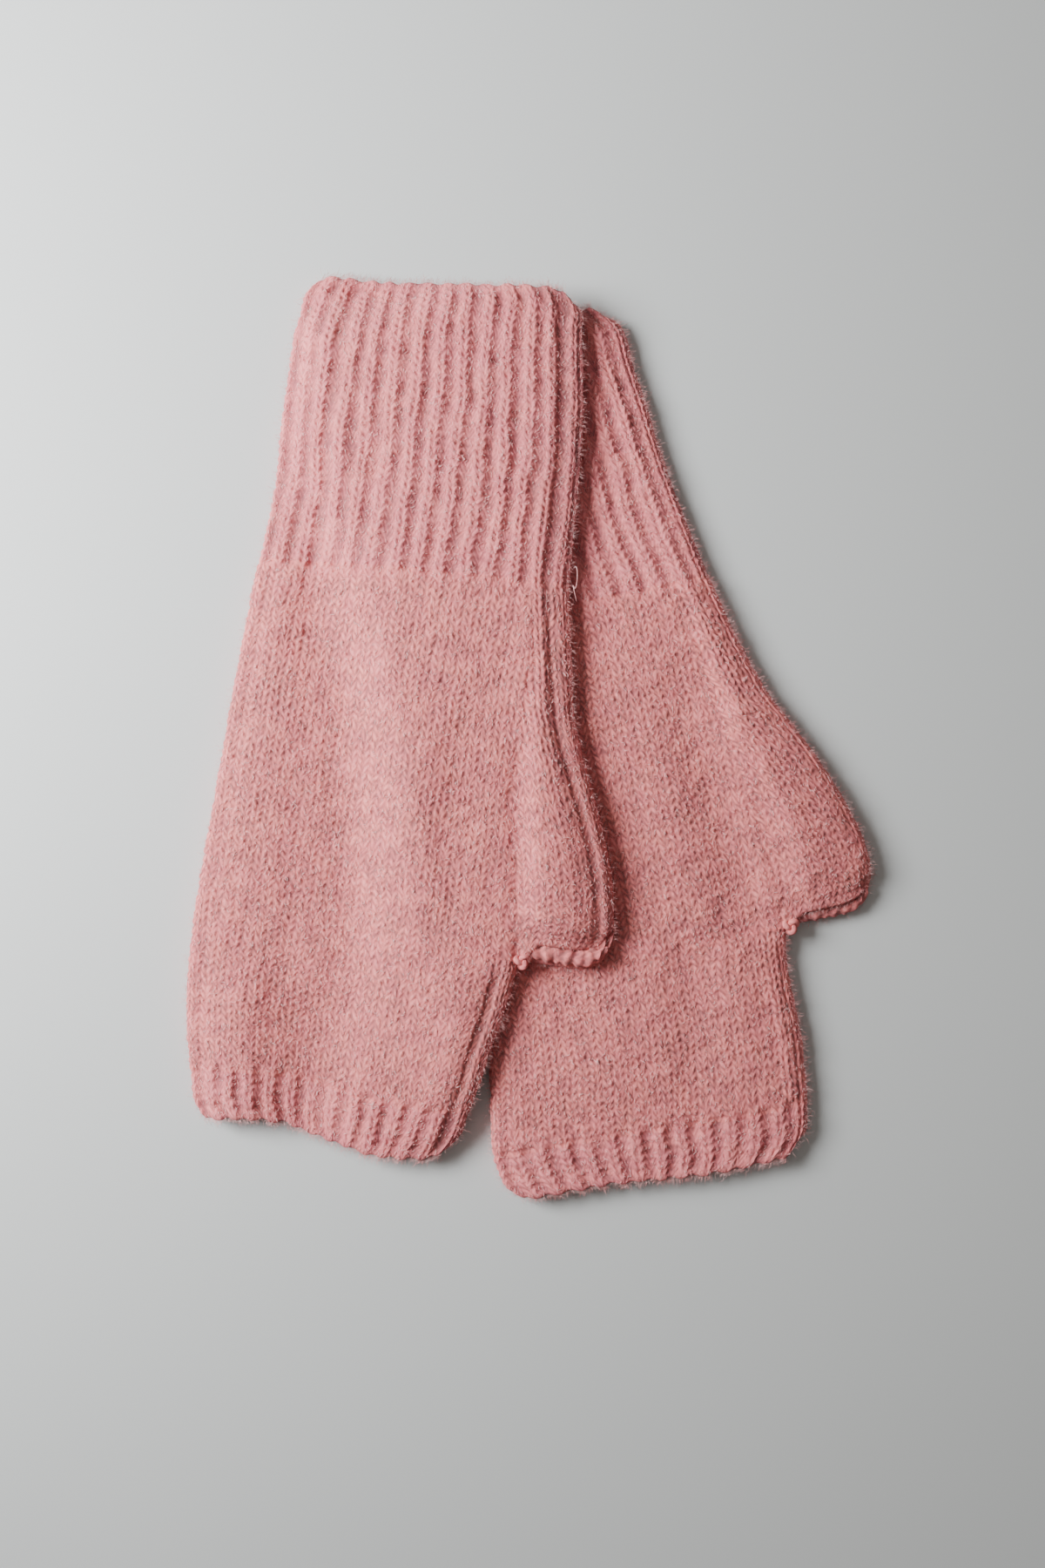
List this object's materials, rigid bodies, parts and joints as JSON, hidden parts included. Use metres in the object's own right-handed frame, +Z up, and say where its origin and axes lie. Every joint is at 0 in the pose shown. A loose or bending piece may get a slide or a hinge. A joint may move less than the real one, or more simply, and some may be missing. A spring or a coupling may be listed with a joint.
{
  "type": "pair of knitted half-mittens",
  "caption": "Pair of pink knitted wool half-mittens with half thumbs, ribbed cuffs and ribbed finger bands, laid flat with one over the other.",
  "frame": {"origin": "under the middle of the pair's bounding box, on the surface that it lies on", "axes": "+Z up from the surface, +Y from the finger bands towards the cuffs, +X towards the thumbs"},
  "size_m": [0.1688, 0.2264, 0.0136],
  "materials": {
    "plain_wool": "matt brushed wool, stocking stitch",
    "rib_wool": "matt brushed wool, 1x1 rib"
  },
  "bodies": {
    "root": {"upper_cuff": "rib_wool", "upper_hand": "plain_wool", "upper_fingers": "plain_wool", "upper_band": "rib_wool", "under_cuff": "rib_wool", "under_hand": "plain_wool", "under_fingers": "plain_wool", "under_band": "rib_wool"}
  },
  "joints": []
}
